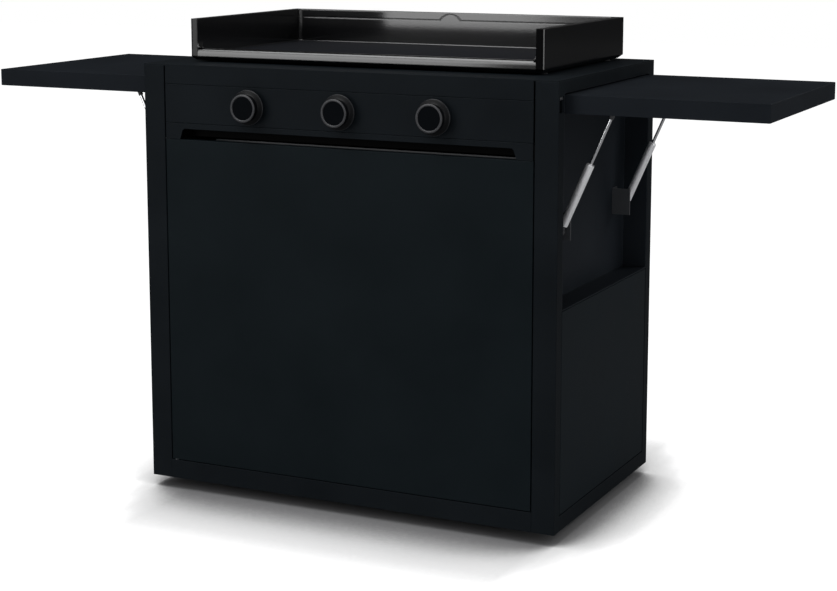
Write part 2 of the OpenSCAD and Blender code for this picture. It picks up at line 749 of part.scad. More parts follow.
// Four feet that carry the plate on the top plate
module plate_feet() {
    x = (opening_hw + plate_hw - bevel_in) / 2;
    color("#1d1e20") cab() both() for (y = [plate_y + pad_in, plate_y1 - pad_in])
        rod_z(x, y, 8, cab_h, plate_z);
}

// Burner: mixing tube, riser and a ring of round tube, hollow inside
module burner_tubes(x, r, y_start) {
    y0 = burner_y0;
    y1 = burner_y1;
    leg = burner_leg / 2;
    rod_y(x, knob_z, r, y_start, y0);
    rod_z(x, y0, r, knob_z, burner_z);
    translate([x, y0, knob_z]) sphere(r = r);
    for (y = [y0, y1]) rod_x(y, burner_z, r, x - leg, x + leg);
    for (s = [-1, 1]) {
        rod_y(x + s * leg, burner_z, r, y0, y1);
        for (y = [y0, y1]) translate([x + s * leg, y, burner_z]) sphere(r = r);
    }
    translate([x, y0, burner_z]) sphere(r = r);
}
module burner(x) {
    color("#8c8f93") cab() difference() {
        burner_tubes(x, burner_r, shield_y - 12);
        burner_tubes(x, burner_r - burner_wall, shield_y - 12 - over);
    }
}
module burner_left() { burner(knob_x[0]); }
module burner_middle() { burner(knob_x[1]); }
module burner_right() { burner(knob_x[2]); }

// Shield between the burners and the gas train
module heat_shield() {
    t = sheet_t;
    color("#6d7075") cab() difference() {
        union() {
            box([-shield_hw, shield_y, chassis_z0 + t], [shield_hw, shield_y + t, cab_h - top_t]);
            box([-shield_hw, shield_y, chassis_z0 + t], [shield_hw, shield_y + 14, chassis_z0 + 2 * t]);
        }
        for (x = knob_x) rod_y(x, knob_z, burner_r + slack, shield_y - over, shield_y + t + over);
        rod_y(inlet_x, inlet_z, manifold_r + slack, shield_y - over, shield_y + 14 + over);
    }
}

// Spark electrodes on the shield
module igniters() {
    color("#d9d4c8") cab() for (x = knob_x) {
        rod_y(x + spark_x, spark_z, 4, shield_y + sheet_t, shield_y + spark_l);
        rod_y(x + spark_x, spark_z, 1.2, shield_y + spark_l, burner_y0 - burner_r - 4);
    }
}

// Manifold along the valves, with a feed pipe to the threaded inlet at the back
module gas_manifold() {
    x1 = inlet_x;
    color("#a88f4d") cab() {
        rod_x(manifold_y, knob_z, manifold_r, knob_x[0] - manifold_end, x1);
        translate([x1, manifold_y, knob_z]) sphere(r = manifold_r);
        rod_z(x1, manifold_y, manifold_r, inlet_z, knob_z);
        translate([x1, manifold_y, inlet_z]) sphere(r = manifold_r);
        rod_y(x1, inlet_z, manifold_r, manifold_y, chassis_y1);
        rod_y(x1, inlet_z, inlet_r, chassis_y1, chassis_y1 + inlet_l);
    }
}

// Gas valves: blocks between the chassis front and the manifold, each with a jet
module gas_valves() {
    color("#b59a56") cab() for (x = knob_x) difference() {
        union() {
            box([x - valve_half, valve_y0, knob_z - valve_half],
                [x + valve_half, manifold_y - manifold_r + 1, knob_z + valve_half]);
            rod_z(x, manifold_y - manifold_r - 9, 6, knob_z - valve_half - 6, knob_z - valve_half);
        }
        rod_y(x, knob_z, plug_r + run, plug_y0, plug_y1 + slack);
        rod_y(x, knob_z, stem_r + 0.5, valve_y0 - over, plug_y0 + over);
        rod_x(manifold_y, knob_z, manifold_r, x - valve_half - over, x + valve_half + over);
    }
}

// Plug inside the valve, which the stem turns
module valve_plug(x) {
    color("#c2a860") cab() difference() {
        rod_y(x, knob_z, plug_r, plug_y0 + 0.1, plug_y1);
        rod_y(x, knob_z, stem_r + run, plug_y0 - over, plug_y1 - 2);
    }
}
module valve_plug_left() { valve_plug(knob_x[0]); }
module valve_plug_middle() { valve_plug(knob_x[1]); }
module valve_plug_right() { valve_plug(knob_x[2]); }

// Stem from the knob into the plug, with room to be pushed in
module valve_stem(x) {
    color("#c9cbce") cab() rod_y(x, knob_z, stem_r, -knob_out + 8, plug_y1 - 2 - knob_push - slack);
}
module valve_stem_left() { valve_stem(knob_x[0]); }
module valve_stem_middle() { valve_stem(knob_x[1]); }
module valve_stem_right() { valve_stem(knob_x[2]); }

// Knob: ringed front face, waisted grip and a wide skirt, turned about the stem
module knob(x) {
    y = knob_out;
    skirt_y = 9;
    ring = 5;
    hub = 11;
    color("#26282c") cab() translate([x, 0, knob_z]) rotate([90, 0, 0]) rotate_extrude()
        polygon([[stem_r, knob_push + 1], [hub, knob_push + 1], [hub, skirt_y - 1.5],
            [skirt_r - 2, skirt_y - 1.5], [skirt_r, skirt_y], [skirt_r, skirt_y + 1],
            [skirt_r - 1.5, skirt_y + 2.5], [knob_r - 3, skirt_y + 4], [knob_r - 2.5, y - 6],
            [knob_r, y - 4], [knob_r, y - 2], [knob_r - 2, y], [knob_r - ring, y],
            [knob_r - ring - 0.8, y - 1.2], [0, y - 1.2], [0, y - 8], [stem_r, y - 8]]);
}
module knob_left() { knob(knob_x[0]); }
module knob_middle() { knob(knob_x[1]); }
module knob_right() { knob(knob_x[2]); }

// Grease drawer: front sheet with the grip cut-out, and a tray behind the finger space
module grease_drawer() {
    t = sheet_t;
    z0 = drawer_z0 + seam / 2;
    z1 = panel_z0 - seam / 2;
    top = grip_w / 2;
    color("#1a1c20") cab() difference() {
        union() {
            box([-unit_hw, 0, z0], [unit_hw, frame_t, z1]);
            box([-drawer_hw, 0, drawer_top - t], [drawer_hw, drawer_y0 + t, drawer_top]);
            difference() {
                box([-drawer_hw, drawer_y0, drawer_floor], [drawer_hw, drawer_y1, drawer_top]);
                box([-drawer_hw + t, drawer_y0 + t, drawer_floor + t],
                    [drawer_hw - t, drawer_y1 - t, drawer_top + over]);
            }
            both() box([drawer_hw - t, drawer_y0, drawer_top - t], [runner_x - 2, drawer_y1, drawer_top]);
        }
        translate([0, frame_t + over, 0]) rotate([90, 0, 0]) linear_extrude(frame_t + 2 * over)
            polygon([[-top - grip_slant, z0 - over], [-top - 1, z0 + grip_h - 3], [-top + 3, z0 + grip_h],
                [top - 3, z0 + grip_h], [top + 1, z0 + grip_h - 3], [top + grip_slant, z0 - over]]);
    }
}

// Runners under the chassis that carry the drawer's flanges
module drawer_runners() {
    t = sheet_t;
    z1 = drawer_top - t - slack;
    color("#8d9096") cab() both() {
        box([drawer_hw + 3, drawer_y0 + 10, z1 - t], [runner_x + t, drawer_y1 - 10, z1]);
        box([runner_x, drawer_y0 + 10, z1 - t], [runner_x + t, drawer_y1 - 10, chassis_z0]);
    }
}

side_frame_left();
side_frame_right();
recess_pan_left();
recess_pan_right();
side_panel_left();
side_panel_right();
bottom_rail();
base_panel();
back_panel();
panel_screws();
front_door();
door_hinges();
door_magnets();
shelf_left();
shelf_right();
shelf_lugs_left();
shelf_lugs_right();
shelf_pins();
strut_brackets();
strut_tube_left_front();
strut_tube_left_rear();
strut_tube_right_front();
strut_tube_right_rear();
strut_rod_left_front();
strut_rod_left_rear();
strut_rod_right_front();
strut_rod_right_rear();
caster_plates();
fork_at(-1, false);  // caster_fork_left_front
fork_at(-1, true);  // caster_fork_left_rear
fork_at(1, false);  // caster_fork_right_front
fork_at(1, true);  // caster_fork_right_rear
wheel_at(-1, false);  // caster_wheel_left_front
wheel_at(-1, true);  // caster_wheel_left_rear
wheel_at(1, false);  // caster_wheel_right_front
wheel_at(1, true);  // caster_wheel_right_rear
top_frame();
chassis();
control_panel();
griddle_plate();
plate_feet();
burner_left();
burner_middle();
burner_right();
heat_shield();
igniters();
gas_manifold();
gas_valves();
valve_plug_left();
valve_plug_middle();
valve_plug_right();
valve_stem_left();
valve_stem_middle();
valve_stem_right();
knob_left();
knob_middle();
knob_right();
grease_drawer();
drawer_runners();
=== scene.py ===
import json
import math

import bpy
import numpy as np
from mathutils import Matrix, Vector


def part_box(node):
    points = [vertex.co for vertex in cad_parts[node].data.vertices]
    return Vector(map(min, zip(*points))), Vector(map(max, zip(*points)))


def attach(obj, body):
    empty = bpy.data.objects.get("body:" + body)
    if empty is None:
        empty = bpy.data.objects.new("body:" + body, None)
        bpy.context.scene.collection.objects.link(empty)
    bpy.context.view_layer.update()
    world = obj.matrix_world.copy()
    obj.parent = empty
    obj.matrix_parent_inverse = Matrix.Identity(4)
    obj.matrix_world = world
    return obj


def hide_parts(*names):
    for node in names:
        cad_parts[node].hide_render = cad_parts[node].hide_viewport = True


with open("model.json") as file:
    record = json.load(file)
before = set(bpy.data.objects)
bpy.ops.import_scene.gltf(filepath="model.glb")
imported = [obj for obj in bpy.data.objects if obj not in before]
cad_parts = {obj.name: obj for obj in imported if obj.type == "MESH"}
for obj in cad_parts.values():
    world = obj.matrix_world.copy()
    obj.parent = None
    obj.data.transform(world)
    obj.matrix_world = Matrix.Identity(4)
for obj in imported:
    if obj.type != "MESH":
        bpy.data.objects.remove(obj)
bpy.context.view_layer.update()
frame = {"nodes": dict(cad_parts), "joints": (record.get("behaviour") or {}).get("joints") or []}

cad = frame["nodes"]


# Studio: a pale floor that fades into a white room, with large soft lamps and the camera.
# The floor is white to the camera and keeps the cabinet's cast shadow. Near the cabinet its glow is
# darkened by occlusion, a painted shadow, which is painted lighter at the sides.
# In gloss it glows faintly.
def material(name):
    """A new node material with its Principled shader, returned as (material, tree, shader)."""
    made = bpy.data.materials.new(name)
    made.use_nodes = True
    tree = made.node_tree
    return made, tree, tree.nodes["Principled BSDF"]


def node(tree, kind, **values):
    """A shader node of that kind. Values name its settings, or its input sockets with spaces as _."""
    made = tree.nodes.new(kind)
    for key, value in values.items():
        if hasattr(made, key):
            setattr(made, key, value)
        else:
            made.inputs[key.replace("_", " ")].default_value = value
    return made


def grid_mesh(name, points):
    """A surface from an array of points, rows by columns.

    Each quad joins a point to the next one in its row, and both to those below them in the next row."""
    rows, cols = points.shape[:2]
    row, col = np.meshgrid(np.arange(rows - 1), np.arange(cols - 1), indexing="ij")
    first = row * cols + col
    quads = np.stack([first, first + 1, first + cols + 1, first + cols], -1).reshape(-1, 4)
    mesh = bpy.data.meshes.new(name)
    mesh.from_pydata(points.reshape(-1, 3), [], quads.tolist())
    mesh.polygons.foreach_set("use_smooth", np.full(len(quads), True))
    made = bpy.data.objects.new(name, mesh)
    bpy.context.scene.collection.objects.link(made)
    return made


floor_half = 12.0
floor_z = -0.0005
floor_line = np.linspace(-floor_half, floor_half, 3)
floor_x, floor_y = np.meshgrid(floor_line, floor_line, indexing="ij")
studio_floor = grid_mesh("studio_floor", np.stack([floor_y, floor_x, np.full_like(floor_x, floor_z)], -1))

paper, paper_tree, paper_shader = material("studio_paper")
paper_shader.inputs["Roughness"].default_value = 0.9
paper_shader.inputs["Specular IOR Level"].default_value = 0.0
paper_path = node(paper_tree, "ShaderNodeLightPath")
paper_tone = node(paper_tree, "ShaderNodeMix", data_type="RGBA")
paper_tone.inputs[6].default_value = (0.13, 0.13, 0.133, 1)
paper_tone.inputs[7].default_value = (0.6, 0.6, 0.605, 1)
# Painted shadow: the floor's glow fades with occlusion near the cabinet
shadow_reach = 0.27
paper_open = node(paper_tree, "ShaderNodeAmbientOcclusion", samples=16, Distance=shadow_reach)
paper_lift = node(paper_tree, "ShaderNodeValToRGB")
shadow_levels = ((0.5, 0), (0.63, 0.06), (0.71, 0.22), (0.77, 0.46), (0.82, 0.56), (0.94, 0.7), (0.98, 1))
for openness, level in shadow_levels:
    stop = paper_lift.color_ramp.elements.new(openness)
    stop.color = (level, level, level, 1)
paper_place = node(paper_tree, "ShaderNodeTexCoord")
paper_split = node(paper_tree, "ShaderNodeSeparateXYZ")
# The glow is lifted by distance in X from the middle, so the painted shadow is lighter at the sides
paper_shift = node(paper_tree, "ShaderNodeMath", operation="SUBTRACT")
shadow_middle = 0.025
paper_shift.inputs[1].default_value = shadow_middle
paper_abs = node(paper_tree, "ShaderNodeMath", operation="ABSOLUTE")
paper_side = node(paper_tree, "ShaderNodeMapRange", From_Min=0.37, From_Max=0.52, To_Max=0.21)
paper_sum = node(paper_tree, "ShaderNodeMath", operation="ADD")
paper_rays = node(paper_tree, "ShaderNodeMath", operation="MULTIPLY_ADD")
gloss_glow = 0.08
paper_rays.inputs[1].default_value = gloss_glow
paper_seen = node(paper_tree, "ShaderNodeMath", operation="MULTIPLY")
paper_glow = node(paper_tree, "ShaderNodeEmission", Color=(1, 1, 1, 1))
paper_add = node(paper_tree, "ShaderNodeAddShader")
paper_tree.links.new(paper_path.outputs["Is Diffuse Ray"], paper_tone.inputs[0])
paper_tree.links.new(paper_tone.outputs[2], paper_shader.inputs["Base Color"])
paper_tree.links.new(paper_place.outputs["Object"], paper_split.inputs[0])
paper_tree.links.new(paper_split.outputs["X"], paper_shift.inputs[0])
paper_tree.links.new(paper_shift.outputs[0], paper_abs.inputs[0])
paper_tree.links.new(paper_abs.outputs[0], paper_side.inputs["Value"])
paper_tree.links.new(paper_side.outputs["Result"], paper_sum.inputs[0])
paper_tree.links.new(paper_open.outputs["AO"], paper_sum.inputs[1])
paper_tree.links.new(paper_sum.outputs[0], paper_lift.inputs["Fac"])
paper_tree.links.new(paper_path.outputs["Is Glossy Ray"], paper_rays.inputs[0])
paper_tree.links.new(paper_path.outputs["Is Camera Ray"], paper_rays.inputs[2])
paper_tree.links.new(paper_rays.outputs[0], paper_seen.inputs[0])
paper_tree.links.new(paper_lift.outputs["Color"], paper_seen.inputs[1])
paper_tree.links.new(paper_seen.outputs[0], paper_glow.inputs["Strength"])
paper_tree.links.new(paper_shader.outputs[0], paper_add.inputs[0])
paper_tree.links.new(paper_glow.outputs[0], paper_add.inputs[1])
paper_tree.links.new(paper_add.outputs[0], paper_tree.nodes["Material Output"].inputs["Surface"])
studio_floor.data.materials.append(paper)

# The room is white to the camera and an even soft light on the object. In gloss it shows a wide
# pale wall towards the front left and a dim one opposite.
room = bpy.data.worlds.new("studio_room")
room.use_nodes = True
bpy.context.scene.world = room
room_tree = room.node_tree
room_shade = room_tree.nodes["Background"]
room_shade.inputs["Color"].default_value = (1, 1, 1, 1)
room_path = node(room_tree, "ShaderNodeLightPath")
room_way = node(room_tree, "ShaderNodeTexCoord")
room_side = node(room_tree, "ShaderNodeVectorMath", operation="DOT_PRODUCT")
towards_pale_wall = (0.25, -0.93, 0.2)
room_side.inputs[1].default_value = towards_pale_wall
room_gloss = node(room_tree, "ShaderNodeMapRange", interpolation_type="SMOOTHSTEP", From_Min=0.1,
                  From_Max=0.9, To_Min=0.04, To_Max=1.0)
room_soft = node(room_tree, "ShaderNodeMix", data_type="FLOAT")
room_light = 0.4
room_soft.inputs[2].default_value = room_light
room_seen = node(room_tree, "ShaderNodeMath", operation="MAXIMUM")
room_level = node(room_tree, "ShaderNodeMix", data_type="FLOAT")
room_level.inputs[3].default_value = 1.0
room_tree.links.new(room_way.outputs["Generated"], room_side.inputs[0])
room_tree.links.new(room_side.outputs["Value"], room_gloss.inputs["Value"])
room_tree.links.new(room_path.outputs["Is Glossy Ray"], room_soft.inputs[0])
room_tree.links.new(room_gloss.outputs["Result"], room_soft.inputs[3])
room_tree.links.new(room_path.outputs["Is Camera Ray"], room_seen.inputs[0])
room_tree.links.new(room_path.outputs["Is Transmission Ray"], room_seen.inputs[1])
room_tree.links.new(room_seen.outputs[0], room_level.inputs[0])
room_tree.links.new(room_soft.outputs[0], room_level.inputs[2])
room_tree.links.new(room_level.outputs[0], room_shade.inputs["Strength"])


def soft_lamp(name, place, target, width, height, watts):
    """A flat lamp of that width and height in metres at place, turned to face target."""
    lamp = bpy.data.lights.new(name, "AREA")
    lamp.shape = "RECTANGLE"
    lamp.size = width
    lamp.size_y = height
    lamp.energy = watts
    holder = bpy.data.objects.new(name, lamp)
    bpy.context.scene.collection.objects.link(holder)
    away = np.subtract(place, target)
    holder.location = place
    holder.rotation_euler = (math.acos(away[2] / np.linalg.norm(away)), 0,
                             math.atan2(away[1], away[0]) + math.pi / 2)
    return holder


soft_lamp("lamp_overhead", (-0.6, -0.9, 3.4), (0, 0.1, 0.8), 2.4, 2.4, 100)
soft_lamp("lamp_front_left", (-2.85, -4.6, 2.3), (-0.1, 0, 0.8), 2.3, 4.6, 126)
soft_lamp("lamp_right", (3.3, -1.2, 0.9), (0.4, 0, 0.5), 2.4, 2.0, 40)
soft_lamp("lamp_back", (2.7, 2.3, 2.7), (0, 0.27, 0.6), 1.8, 1.8, 60)

camera_pitch = 9.2135
camera_turn = 25.832
camera = bpy.data.cameras.new("camera")
camera.sensor_width = 36.0
camera.lens = 80.327
camera.shift_y = -0.1
camera_holder = bpy.data.objects.new("camera", camera)
camera_holder.location = (1.61739, -3.25171, 1.13774)
camera_holder.rotation_euler = (math.radians(90 - camera_pitch), 0, math.radians(camera_turn))
bpy.context.scene.collection.objects.link(camera_holder)
bpy.context.scene.camera = camera_holder
bpy.context.scene.view_settings.view_transform = "Standard"


# Cabinet shell: folded and welded steel sheet with a dark blue-black powder coat. Its edges look
# softer through a rounded normal, and are painted a little lighter as a highlight.
def group(name, inputs, outputs):
    """A shader node group with float inputs {name: default} and outputs {name: socket type}."""
    made = bpy.data.node_groups.new(name, "ShaderNodeTree")
    for key, value in inputs.items():
        socket = made.interface.new_socket(key, in_out="INPUT", socket_type="NodeSocketFloat")
        socket.default_value = value
    for key, kind in outputs.items():
        made.interface.new_socket(key, in_out="OUTPUT", socket_type=kind)
    return made, made.nodes.new("NodeGroupInput"), made.nodes.new("NodeGroupOutput")


# Rounded edges: the normal of an edge rounded by that radius, and a mask that is 1 on it
soft_edges, soft_in, soft_out = group("soft_edges", {"Radius": 0.001},
                                      {"Normal": "NodeSocketVector", "Edge": "NodeSocketFloat"})
soft_bevel = node(soft_edges, "ShaderNodeBevel", samples=6)
soft_flat = node(soft_edges, "ShaderNodeNewGeometry")
soft_dot = node(soft_edges, "ShaderNodeVectorMath", operation="DOT_PRODUCT")
soft_mask = node(soft_edges, "ShaderNodeMapRange", From_Min=0.995, From_Max=0.86)
soft_edges.links.new(soft_in.outputs["Radius"], soft_bevel.inputs["Radius"])
soft_edges.links.new(soft_bevel.outputs["Normal"], soft_dot.inputs[0])
soft_edges.links.new(soft_flat.outputs["Normal"], soft_dot.inputs[1])
soft_edges.links.new(soft_dot.outputs["Value"], soft_mask.inputs["Value"])
soft_edges.links.new(soft_bevel.outputs["Normal"], soft_out.inputs["Normal"])
soft_edges.links.new(soft_mask.outputs["Result"], soft_out.inputs["Edge"])

# Coat texture: the fine pebbled height of a sprayed coat, and its slow cloudy unevenness
spray, spray_in, spray_out = group("spray_texture", {"Pebble": 900.0, "Cloud": 5.0},
                                   {"Height": "NodeSocketFloat", "Cloud": "NodeSocketFloat"})
spray_place = node(spray, "ShaderNodeTexCoord")
spray_pebble = node(spray, "ShaderNodeTexNoise", Detail=3.0, Roughness=0.55)
spray_cloud = node(spray, "ShaderNodeTexNoise", Detail=4.0, Roughness=0.6)
spray.links.new(spray_place.outputs["Object"], spray_pebble.inputs["Vector"])
spray.links.new(spray_place.outputs["Object"], spray_cloud.inputs["Vector"])
spray.links.new(spray_in.outputs["Pebble"], spray_pebble.inputs["Scale"])
spray.links.new(spray_in.outputs["Cloud"], spray_cloud.inputs["Scale"])
spray.links.new(spray_pebble.outputs["Fac"], spray_out.inputs["Height"])
spray.links.new(spray_cloud.outputs["Fac"], spray_out.inputs["Cloud"])


def sprayed(name, dark, light, rough, shine, radius=0.0012, pebble=900.0, bump=0.12):
    """A sprayed or cast finish: colour from dark to light in clouds, and lighter along the edges as a
    painted highlight.

    rough is (least, most) roughness, and shine the specular level."""
    made, tree, shader = material(name)
    texture = node(tree, "ShaderNodeGroup", node_tree=spray)
    texture.inputs["Pebble"].default_value = pebble
    edges = node(tree, "ShaderNodeGroup", node_tree=soft_edges)
    edges.inputs["Radius"].default_value = radius
    clouds = node(tree, "ShaderNodeMapRange", From_Min=0.3, From_Max=0.7, To_Max=0.35)
    # The clouds are the coat's own unevenness; the lighter edges are a painted highlight
    clouds_and_edge_highlight = node(tree, "ShaderNodeMath", operation="MAXIMUM")
    colour = node(tree, "ShaderNodeMix", data_type="RGBA")
    colour.inputs[6].default_value = (*dark, 1)
    colour.inputs[7].default_value = (*light, 1)
    gloss = node(tree, "ShaderNodeMapRange", From_Min=0.3, From_Max=0.7, To_Min=rough[0], To_Max=rough[1])
    pebbles = node(tree, "ShaderNodeBump", Strength=bump, Distance=0.0004)
    tree.links.new(texture.outputs["Cloud"], clouds.inputs["Value"])
    tree.links.new(clouds.outputs["Result"], clouds_and_edge_highlight.inputs[0])
    tree.links.new(edges.outputs["Edge"], clouds_and_edge_highlight.inputs[1])
    tree.links.new(clouds_and_edge_highlight.outputs[0], colour.inputs[0])
    tree.links.new(colour.outputs[2], shader.inputs["Base Color"])
    tree.links.new(texture.outputs["Cloud"], gloss.inputs["Value"])
    tree.links.new(gloss.outputs["Result"], shader.inputs["Roughness"])
    tree.links.new(texture.outputs["Height"], pebbles.inputs["Height"])
    tree.links.new(edges.outputs["Normal"], pebbles.inputs["Normal"])
    tree.links.new(pebbles.outputs["Normal"], shader.inputs["Normal"])
    shader.inputs["Specular IOR Level"].default_value = shine
    return made


def finish_with(finish, *names):
    """The CAD nodes of those names show that finish."""
    for name in names:
        cad[name].data.materials.clear()
        cad[name].data.materials.append(finish)


coat_dark, coat_light = (0.0034, 0.0046, 0.0058), (0.0086, 0.0111, 0.0134)
coat_rough = (0.46, 0.54)
cabinet_coat = sprayed("cabinet_coat", coat_dark, coat_light, coat_rough, 0.03)
finish_with(cabinet_coat, "side_frame_left", "side_frame_right", "bottom_rail", "base_panel",
            "back_panel", "top_frame", "control_panel")

# The recess pans and the chassis take a lighter copy of the cabinet's coat, painted light for the shaded
# recesses
panel_coat_painted_light = sprayed("panel_coat_painted_light", (0.0062, 0.0078, 0.01), (0.0135, 0.0165, 0.0205), coat_rough, 0.04)
finish_with(panel_coat_painted_light, "recess_pan_left", "recess_pan_right", "chassis")
# The side panels take a copy of the coat a little lighter than the cabinet's, painted light
side_coat_painted_light = sprayed("side_coat_painted_light", (0.0042, 0.0062, 0.0078), (0.0092, 0.0126, 0.0152), coat_rough, 0.035)
finish_with(side_coat_painted_light, "side_panel_left", "side_panel_right")


# Door: a folded steel pan in a slightly greener and smoother coat.
# It hangs on two pins at its left edge, and magnets hold its right edge.
door_coat = sprayed("door_coat", (0.003, 0.005, 0.0062), (0.0068, 0.01, 0.012), (0.44, 0.5), 0.035)
finish_with(door_coat, "front_door")


def beyond(tree, axis, level, fade):
    """A socket that rises from 0 to 1 where the piece's own X, Y or Z passes level, within fade."""
    place = node(tree, "ShaderNodeTexCoord")
    split = node(tree, "ShaderNodeSeparateXYZ")
    rise = node(tree, "ShaderNodeMapRange", From_Min=level, From_Max=level + fade)
    tree.links.new(place.outputs["Object"], split.inputs[0])
    tree.links.new(split.outputs[axis], rise.inputs["Value"])
    return rise.outputs["Result"]


def tinted(finish, mask, colour, rough):
    """Lays a second tone over a finish where mask is 1. rough is the second tone's roughness."""
    tree = finish.node_tree
    shader = tree.nodes["Principled BSDF"]
    tone = node(tree, "ShaderNodeMix", data_type="RGBA")
    tone.inputs[7].default_value = (*colour, 1)
    gloss = node(tree, "ShaderNodeMix", data_type="FLOAT")
    gloss.inputs[3].default_value = rough
    tree.links.new(mask, tone.inputs[0])
    tree.links.new(shader.inputs["Base Color"].links[0].from_socket, tone.inputs[6])
    tree.links.new(tone.outputs[2], shader.inputs["Base Color"])
    tree.links.new(mask, gloss.inputs[0])
    tree.links.new(shader.inputs["Roughness"].links[0].from_socket, gloss.inputs[2])
    tree.links.new(gloss.outputs[0], shader.inputs["Roughness"])


def both_masks(tree, first, second):
    """A socket with the product of two masks."""
    product = node(tree, "ShaderNodeMath", operation="MULTIPLY")
    tree.links.new(first, product.inputs[0])
    tree.links.new(second, product.inputs[1])
    return product.outputs[0]


# The pull lip over the door's top edge is painted lighter as a highlight, fading out towards its hinge end
lip_z, lip_hinge_x = 0.6998, -0.3
door_tree = door_coat.node_tree
lip_painted_highlight = both_masks(door_tree, beyond(door_tree, "Z", lip_z, 0.0004),
                      beyond(door_tree, "X", lip_hinge_x, 0.12))
tinted(door_coat, lip_painted_highlight, (0.06, 0.061, 0.064), 0.34)


# Grease drawer: a front sheet in the posts' coat, with a tray behind it on two runners.
# The tray behind the front is painted near black, as shade.
drawer_front_back_y = -0.2368
drawer_coat = sprayed("drawer_coat", coat_dark, coat_light, coat_rough, 0.03)
# Painted shade: the drawer is near black behind its front sheet
tinted(drawer_coat, beyond(drawer_coat.node_tree, "Y", drawer_front_back_y, 0.001),
       (0.0006, 0.0006, 0.0007), 0.6)
finish_with(drawer_coat, "grease_drawer")


# Side shelves: folded pans of coated sheet, open below, with two lugs each for the struts.
# They fold down into the recesses.
# The shelves take a lighter copy of the coat, painted light so that their tops read brighter
shelf_coat_painted_light = sprayed("shelf_coat_painted_light", (0.0052, 0.0065, 0.0084), (0.0118, 0.0144, 0.018), (0.5, 0.6), 0.03)
finish_with(shelf_coat_painted_light, "shelf_left", "shelf_right")

bracket_coat = sprayed("bracket_coat", (0.022, 0.024, 0.027), (0.055, 0.058, 0.063), (0.4, 0.5), 0.3)
finish_with(bracket_coat, "shelf_lugs_left", "shelf_lugs_right", "strut_brackets", "panel_screws",
            "door_magnets", "door_hinges")


# Gas struts: a steel tube in thin silver lacquer and a chromed rod, polished along their length.
# The tube's eye turns on a bracket in the recess, and the rod's head on a lug under the shelf.
def metal(name, colour, rough, streak=(60.0, 60.0, 60.0), radius=0.0008, bare=1.0):
    """A metal with fine streaks. streak is their scale along X, Y and Z. bare is under 1 for lacquer."""
    made, tree, shader = material(name)
    place = node(tree, "ShaderNodeTexCoord")
    turn = node(tree, "ShaderNodeMapping", Scale=streak)
    lines = node(tree, "ShaderNodeTexNoise", Scale=10.0, Detail=5.0, Roughness=0.65)
    edges = node(tree, "ShaderNodeGroup", node_tree=soft_edges)
    edges.inputs["Radius"].default_value = radius
    shade = node(tree, "ShaderNodeMix", data_type="RGBA")
    shade.inputs[6].default_value = (*(0.82 * c for c in colour), 1)
    shade.inputs[7].default_value = (*colour, 1)
    gloss = node(tree, "ShaderNodeMapRange", From_Min=0.3, From_Max=0.7, To_Min=rough[0], To_Max=rough[1])
    scratch = node(tree, "ShaderNodeBump", Strength=0.08, Distance=0.0002)
    tree.links.new(place.outputs["Object"], turn.inputs["Vector"])
    tree.links.new(turn.outputs["Vector"], lines.inputs["Vector"])
    tree.links.new(lines.outputs["Fac"], shade.inputs[0])
    tree.links.new(shade.outputs[2], shader.inputs["Base Color"])
    tree.links.new(lines.outputs["Fac"], gloss.inputs["Value"])
    tree.links.new(gloss.outputs["Result"], shader.inputs["Roughness"])
    tree.links.new(lines.outputs["Fac"], scratch.inputs["Height"])
    tree.links.new(edges.outputs["Normal"], scratch.inputs["Normal"])
    tree.links.new(scratch.outputs["Normal"], shader.inputs["Normal"])
    shader.inputs["Metallic"].default_value = bare
    return made


def lathe(name, profile, start, along, steps=64, finishes=(), spans=()):
    """A profile of (radius, distance) pairs, in millimetres, turned about the line from start.

    Each point is start + distance * along + radius * (cos t * side + sin t * other), with side and
    other square to along. A profile that starts and ends on the line, or at its own first point, gives
    a closed surface, and faces outward where its outside runs along the line. Rings where it turns by
    over 30 degrees are crisp. spans gives the last profile step of each finish but the last one."""
    along = np.array(along, float) / np.linalg.norm(along)
    side = np.cross(along, (0.0, 0.0, 1.0) if abs(along[2]) < 0.7 else (1.0, 0.0, 0.0))
    side /= np.linalg.norm(side)
    other = np.cross(along, side)
    looped = tuple(profile[0]) == tuple(profile[-1])
    line = np.array(profile[:-1] if looped else profile, float) / 1000
    count = len(line) if looped else len(line) - 1
    t = np.linspace(0, 2 * math.pi, steps, endpoint=False)
    ring = np.cos(t)[:, None] * side + np.sin(t)[:, None] * other
    points, rings, owner = [], [], []
    for index, (radius, distance) in enumerate(line):
        centre = np.array(start) + distance * along
        row = [centre] if radius == 0 else list(centre + radius * ring)
        rings.append([len(points) + k % len(row) for k in range(steps)])
        points += row
        owner += [index] * len(row)
    faces, steps_of = [], []
    for i in range(count):
        low, high = rings[i], rings[(i + 1) % len(line)]
        for k in range(steps):
            corners_of = [low[k], low[(k + 1) % steps], high[(k + 1) % steps], high[k]]
            faces.append(list(dict.fromkeys(corners_of)))
            steps_of.append(i)
    mesh = bpy.data.meshes.new(name)
    mesh.from_pydata(points, [], faces)
    legs = np.diff(np.vstack([line[-1:], line, line[:1]]), axis=0)
    turn = np.degrees(np.arctan2(legs[:, 0], legs[:, 1]))
    bend = np.abs((np.diff(turn) + 180) % 360 - 180)
    owner = np.array(owner)
    ends = np.array([edge.vertices[:] for edge in mesh.edges])
    same = owner[ends[:, 0]] == owner[ends[:, 1]]
    crisp = mesh.attributes.new("sharp_edge", "BOOLEAN", "EDGE")
    crisp.data.foreach_set("value", same & (bend[owner[ends[:, 0]]] > 30))
    mesh.polygons.foreach_set("use_smooth", np.full(len(faces), True))
    made = bpy.data.objects.new(name, mesh)
    bpy.context.scene.collection.objects.link(made)
    for finish in finishes:
        mesh.materials.append(finish)
    if spans:
        mesh.polygons.foreach_set("material_index", np.searchsorted(spans, steps_of))
    return made


